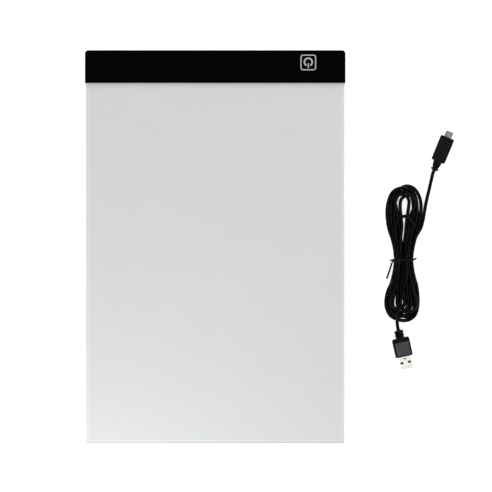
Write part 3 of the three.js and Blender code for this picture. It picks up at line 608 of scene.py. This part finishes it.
usb_tongue = skin("usb_a_tongue", brick((-5.4, 17.9, 0.0), (5.4, 27.4, 1.62), 0.15), usb_place,
                  black_nylon)
belongs(usb_tongue, "usb_lead", "black_nylon", "usb_plug_tongue")
for x, reach in ((-3.5, 27.0), (-1.0, 26.2), (1.0, 26.2), (3.5, 27.0)):
    blade = skin("usb_a_contact", brick((x - 0.5, 18.4, -0.08), (x + 0.5, reach, 0.02), 0.04),
                 usb_place, gold)
    belongs(blade, "usb_lead", "nickel_steel")


# Hank tie. Black PVC-covered wire, 1.2 mm thick: one loop round the hank's waist, with both ends left
# long and crossed over the top. The free ends are a third thicker, where the covering isn't drawn tight.
tie_radius = 0.6
tie_end_radius = 1.35 * tie_radius
tie_ring = [(160.6, -12.2, 5.6), (161.0, -12.1, 8.6), (163.6, -11.9, 10.9), (170.0, -11.5, 11.3),
            (176.4, -11.1, 10.9), (179.3, -10.8, 8.6), (179.7, -10.7, 5.6), (179.0, -10.8, 2.4),
            (176.4, -11.1, 0.95), (170.0, -11.5, 0.8), (163.8, -11.9, 0.95), (161.2, -12.1, 2.4)]
tie_loop = smooth_cord("hank_tie_loop", [Vector(point) * MM for point in tie_ring], tie_radius * MM,
                       black_pvc, closed=True)
belongs(tie_loop, "usb_lead", "black_pvc", "hank_tie")
tie_routes = {
    "hank_tie_end_left": [(181.2, -10.3, 6.4), (179.9, -10.9, 9.3), (176.6, -11.8, 11.5),
                          (169.0, -12.4, 12.2), (162.6, -12.6, 11.4), (159.9, -13.4, 8.4),
                          (158.9, -16.2, 4.4), (157.2, -22.0, 1.6), (154.9, -28.7, 1.1)],
    "hank_tie_end_right": [(157.9, -12.0, 6.0), (160.2, -11.6, 8.9), (163.4, -11.2, 11.5),
                           (166.2, -12.6, 12.4), (166.0, -16.0, 11.2), (165.6, -21.0, 9.9),
                           (164.8, -27.8, 9.0)],
}
for name, route in tie_routes.items():
    tie_end = smooth_cord(name, [Vector(point) * MM for point in route], tie_end_radius * MM, black_pvc)
    belongs(tie_end, "usb_lead", "black_pvc")


# Header covers. Two black ABS mouldings, 1.2 to 1.4 mm thick, that close on each other round the
# electronics. Their outside has a fine satin grain; three small screws hold the lower to the upper.
def wear(material, *names):
    """Gives the named CAD nodes a material."""
    for name in names:
        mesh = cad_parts[name].data
        mesh.materials.clear()
        mesh.materials.append(material)


def satin_black_abs():
    """ABS from a lightly eroded mould: a grain of 0.25 mm, and handling marks some centimetres long
    that show only in the sheen."""
    material = start_material("satin_black_abs")
    place = point_place(material)
    wiped = patches(material, place, 40, 3.0)
    return finish_material(material, {"Base Color": linear("010101"), "Specular IOR Level": 0.015}, [
        ("Roughness", between(material, wiped, 0.30, 0.42)),
        ("Normal", raised(material, patches(material, place, 0.25, 2.0), 0.2, 0.01))])


wear(satin_black_abs(), "header_top_cover", "header_bottom_cover")
wear(plated_steel("zinc_plated_steel", "b9bcc0", 0.35), "header_screw_1", "header_screw_2", "header_screw_3")


# Printed mark. Silver-grey ink, screen printed on the upper cover over the touch switch: a rounded
# frame, and inside it a ring open at the bottom with a bar through the gap.
def silver_ink():
    """Opaque ink with a slightly uneven film, about 0.6 mm from patch to patch."""
    material = start_material("silver_grey_ink")
    film = patches(material, point_place(material), 0.6, 3.0)
    return finish_material(material, {"Roughness": 0.6, "Specular IOR Level": 0.3},
                           [("Base Color", two_tone(material, film, 0.3, 0.7, "a9abac", "b6b8b9"))])


wear(silver_ink(), "mark_frame", "mark_ring", "mark_bar")


# Feet. Four round pads of black rubber, 8 mm across and 0.8 mm high, glued under the corners. They are
# cut from sheet, so they keep its faint cloth-like face.
def rubber_sheet():
    """Black rubber with a woven face, 0.5 mm from thread to thread."""
    material = start_material("black_rubber_sheet")
    weave = add_node(material, "ShaderNodeTexChecker", {"Scale": 1 / (0.5 * MM)},
                     [("Vector", point_place(material))])
    return finish_material(material, {
        "Base Color": linear("141414"), "Roughness": 0.85, "Specular IOR Level": 0.2},
        [("Normal", raised(material, weave.outputs["Fac"], 0.3, 0.03))])


wear(rubber_sheet(), "foot_header_left", "foot_header_right", "foot_end_left", "foot_end_right")


# Sheet stack. From below: a white PVC back sheet, a white reflector film, a clear acrylic light guide
# with printed dots, strips of bonding tape round its edge, a diffuser film, and the frosted top sheet.
dot_pitch = 1.6
dot_share = 0.45                # a dot's diameter, as a share of the pitch
mix_first, mix_second = 6, 7    # a Mix node's two colours going in, and the one coming out
mix_result = 2


def white_sheet(name, colour, rough, mottle, step):
    """White sheet plastic whose surface wanders slightly, the step being in millimetres."""
    material = start_material(name)
    cloud = patches(material, point_place(material), step, 3.0)
    return finish_material(material, {"Base Color": linear(colour)}, [
        ("Roughness", between(material, cloud, rough - mottle, rough + mottle)),
        ("Normal", raised(material, cloud, 0.15, 0.01))])


def dots(material, place):
    """A square grid of round dots, 1 inside a dot and 0 outside, going over softly at its edge."""
    grid = add_node(material, "ShaderNodeMapping", {"Scale": (1 / (dot_pitch * MM),) * 3},
                    [("Vector", place)])
    cell = add_node(material, "ShaderNodeVectorMath", {"operation": "FRACTION"},
                    [(0, grid.outputs["Vector"])])
    middle = add_node(material, "ShaderNodeVectorMath", {"operation": "SUBTRACT", 1: (0.5, 0.5, 0.5)},
                      [(0, cell.outputs["Vector"])])
    flat = add_node(material, "ShaderNodeVectorMath", {"operation": "MULTIPLY", 1: (1, 1, 0)},
                    [(0, middle.outputs["Vector"])])
    away = add_node(material, "ShaderNodeVectorMath", {"operation": "LENGTH"}, [(0, flat.outputs["Vector"])])
    edge, softness = dot_share / 2, 0.06
    return add_node(material, "ShaderNodeMapRange", {
        "From Min": edge - softness, "From Max": edge + softness, "To Min": 1.0, "To Max": 0.0},
        [("Value", away.outputs["Value"])]).outputs["Result"]


def clear_acrylic():
    """Polished clear acrylic with white dots printed underneath at 1.6 mm centres. The part that is not
    transmission stands for the light it gathers, which makes its edge look pale."""
    material = start_material("clear_acrylic")
    printed = dots(material, point_place(material))
    tint = add_node(material, "ShaderNodeMix", {
        "data_type": "RGBA", mix_first: linear("eef4f1"), mix_second: linear("ffffff")},
        [("Factor", printed)])
    return finish_material(material, {"IOR": 1.49, "Transmission Weight": 0.35}, [
        ("Base Color", tint.outputs[mix_result]), ("Roughness", between(material, printed, 0.04, 0.5))])


def frosted_acrylic():
    """Milky acrylic with a fine frosted face. Through it the bonding tape shows as a slightly paler rim,
    and the light guide's dots show very faintly. A greyer line along the front edge is painted shade."""
    side_rim_from, front_rim_from, rim_to = 3.9 * MM, 3.8 * MM, 3.1 * MM
    # the grey line of painted shade along the front edge: its distance from the edge, its half width, and
    # where it has faded out
    edge_shade_inset, edge_shade_half, edge_shade_fade = 0.6 * MM, 0.7 * MM, 1.3 * MM
    panel_low, panel_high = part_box("top_sheet")
    material = start_material("frosted_acrylic")
    place = point_place(material)
    split = add_node(material, "ShaderNodeSeparateXYZ", {}, [("Vector", place)])
    side = add_node(material, "ShaderNodeMath", {"operation": "ABSOLUTE"}, [(0, split.outputs["X"])])
    side_rim = add_node(material, "ShaderNodeMapRange", {
        "From Min": panel_high[0] - side_rim_from, "From Max": panel_high[0] - rim_to},
        [("Value", side.outputs["Value"])])
    front_rim = add_node(material, "ShaderNodeMapRange", {
        "From Min": panel_low[1] + front_rim_from, "From Max": panel_low[1] + rim_to},
        [("Value", split.outputs["Y"])])
    rim = add_node(material, "ShaderNodeMath", {"operation": "MAXIMUM"},
                   [(0, side_rim.outputs["Result"]), (1, front_rim.outputs["Result"])])
    # painted shade: a grey line along the front edge, darkest along its middle
    off_edge_shade = add_node(material, "ShaderNodeMath", {
        "operation": "SUBTRACT", 1: panel_low[1] + edge_shade_inset}, [(0, split.outputs["Y"])])
    near_edge_shade = add_node(material, "ShaderNodeMath", {"operation": "ABSOLUTE"},
                         [(0, off_edge_shade.outputs["Value"])])
    edge_shade = add_node(material, "ShaderNodeMapRange", {
        "From Min": edge_shade_half, "From Max": edge_shade_fade, "To Min": 1.0, "To Max": 0.0},
        [("Value", near_edge_shade.outputs["Value"])])
    sheet = add_node(material, "ShaderNodeMix", {
        "data_type": "RGBA", mix_first: linear("d3d4d5"), mix_second: linear("d6d7d8")},
        [("Factor", patches(material, place, 60, 2.0))])
    # over the sheet's own tone: the light guide's dots, the paler tape rim, and the grey line of painted
    # shade along the front edge
    for factor, strength, colour in ((dots(material, place), 0.28, "e6e7e8"),
                                     (rim.outputs["Value"], 0.5, "e2e3e4"),
                                     (edge_shade.outputs["Result"], 0.42, "aeb0b1")):
        amount = add_node(material, "ShaderNodeMath", {"operation": "MULTIPLY", 1: strength}, [(0, factor)])
        sheet = add_node(material, "ShaderNodeMix", {"data_type": "RGBA", mix_second: linear(colour)},
                         [("Factor", amount.outputs["Value"]), (mix_first, sheet.outputs[mix_result])])
    frost = patches(material, place, 0.12, 1.0)
    return finish_material(material, {
        "Roughness": 0.5, "Specular IOR Level": 0.25, "Subsurface Weight": 0.15,
        "Subsurface Scale": 0.5 * MM},
        [("Base Color", sheet.outputs[mix_result]), ("Normal", raised(material, frost, 0.3, 0.01))])


wear(white_sheet("white_pvc_sheet", "e4e5e6", 0.5, 0.05, 1.5), "back_sheet")
wear(white_sheet("white_reflector_film", "f2f3f4", 0.25, 0.03, 8.0), "reflector_sheet")
wear(clear_acrylic(), "light_guide_plate")
wear(white_sheet("white_foam_tape", "ececea", 0.8, 0.08, 0.4), "edge_tape_left", "edge_tape_right",
     "edge_tape_end")
wear(white_sheet("diffuser_film", "eeeff0", 0.6, 0.05, 0.3), "diffuser_sheet")
wear(frosted_acrylic(), "top_sheet")


# LED strip. A narrow white-masked laminate board carrying fourteen white side-lit LEDs, each a cream
# package with a yellow phosphor window, standing against the light guide's edge inside the header.
def masked_laminate(name, mask, track, pitch):
    """Glass-epoxy board: solder mask over copper tracks that show as paler lines at a pitch in mm."""
    material = start_material(name)
    waves_to_pitch = 0.31
    tracks = add_node(material, "ShaderNodeTexWave", {
        "Scale": waves_to_pitch / (pitch * MM), "Distortion": 1.5, "Detail": 1.0, "bands_direction": "Y"},
        [("Vector", point_place(material))])
    edge = add_node(material, "ShaderNodeMapRange", {"From Min": 0.55, "From Max": 0.6},
                    [("Value", tracks.outputs["Fac"])])
    tint = add_node(material, "ShaderNodeMix", {
        "data_type": "RGBA", mix_first: linear(mask), mix_second: linear(track)},
        [("Factor", edge.outputs["Result"])])
    return finish_material(material, {"Roughness": 0.35}, [
        ("Base Color", tint.outputs[mix_result]),
        ("Normal", raised(material, edge.outputs["Result"], 0.4, 0.03))])


def box_in_mm(name):
    """The low and high corners of a CAD node in millimetres."""
    return [[c / MM for c in corner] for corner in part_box(name)]


wear(masked_laminate("white_masked_laminate", "eceeee", "dfe2e2", 1.2), "led_strip_board")
led_names = [f"led_{number:02d}" for number in range(1, 15)]
wear(moulded_plastic("cream_led_package", "f1ecdc", 0.45), *led_names)
phosphor = moulded_plastic("yellow_phosphor_silicone", "e8c928", 0.3)
upright = Matrix.Scale(MM, 4)
for name in led_names:
    low, high = box_in_mm(name)
    window = brick((low[0] + 0.4, low[1] - 0.06, low[2] + 0.3),
                   (high[0] - 0.4, low[1] + 0.1, high[2] - 0.3), 0.15)
    pane = skin(name + "_window", window, upright, phosphor)
    belongs(pane, "pad", "led_package")


# Control board. Green laminate under the upper cover with the touch chip, the LED driver, a smoothing
# capacitor and a resistor; two wires take power to the strip, red for plus and black for minus.
wear(masked_laminate("green_masked_laminate", "1d5a32", "2f7a48", 0.8), "control_board")
wear(moulded_plastic("black_chip_epoxy", "1a1a1b", 0.55), "touch_chip", "led_driver_chip")
wear(moulded_plastic("tan_ceramic", "a88a63", 0.5), "smoothing_capacitor")
wear(moulded_plastic("black_resistor_glaze", "202226", 0.25), "current_resistor")
wear(moulded_plastic("red_pvc_insulation", "a8191c", 0.4), "wire_positive")
wear(black_pvc, "wire_negative")
tin = plated_steel("tinned_leads", "cfd0d2", 0.3)
legs_a_side = 4
for name in ("touch_chip", "led_driver_chip"):
    low, high = box_in_mm(name)
    for leg in range(legs_a_side):
        x = low[0] + (high[0] - low[0]) * (leg + 0.5) / legs_a_side
        for y, way in ((low[1], -1), (high[1], 1)):
            ends = sorted((y - way * 0.1, y + way * 0.55))
            bar = brick((x - 0.2, ends[0], low[2] + 0.02), (x + 0.2, ends[1], low[2] + 0.2))
            belongs(skin(f"{name}_leg", bar, upright, tin), "pad", "nickel_steel")


# Touch switch. A square of copper foil stuck under the upper cover, behind the printed mark, and a
# small steel spring that joins it to the control board. A finger over the mark works it.
wear(plated_steel("copper_foil", "c9794f", 0.3), "touch_electrode")
wear(plated_steel("spring_steel", "a9abad", 0.25), "touch_spring")


# Micro-USB socket. A folded nickel-plated shell, open at the header's back edge, round a black nylon
# blade with five gold-flashed contacts underneath; it takes the lead's small plug.
wear(plated_steel("socket_nickel_steel", "c4c4c2", 0.3), "micro_usb_socket_shell")
wear(moulded_plastic("socket_black_nylon", "101010", 0.5), "micro_usb_socket_blade")
low, high = box_in_mm("micro_usb_socket_blade")
for shift in contact_shifts:
    x = (low[0] + high[0]) / 2 + shift
    strip = brick((x - 0.15, low[1] + 0.3, low[2] - 0.04), (x + 0.15, high[1] - 0.3, low[2] + 0.05), 0.03)
    belongs(skin("socket_contact", strip, upright, gold), "pad", "nickel_steel")


# Size of everything shown, apart from the backdrop.
low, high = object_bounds()
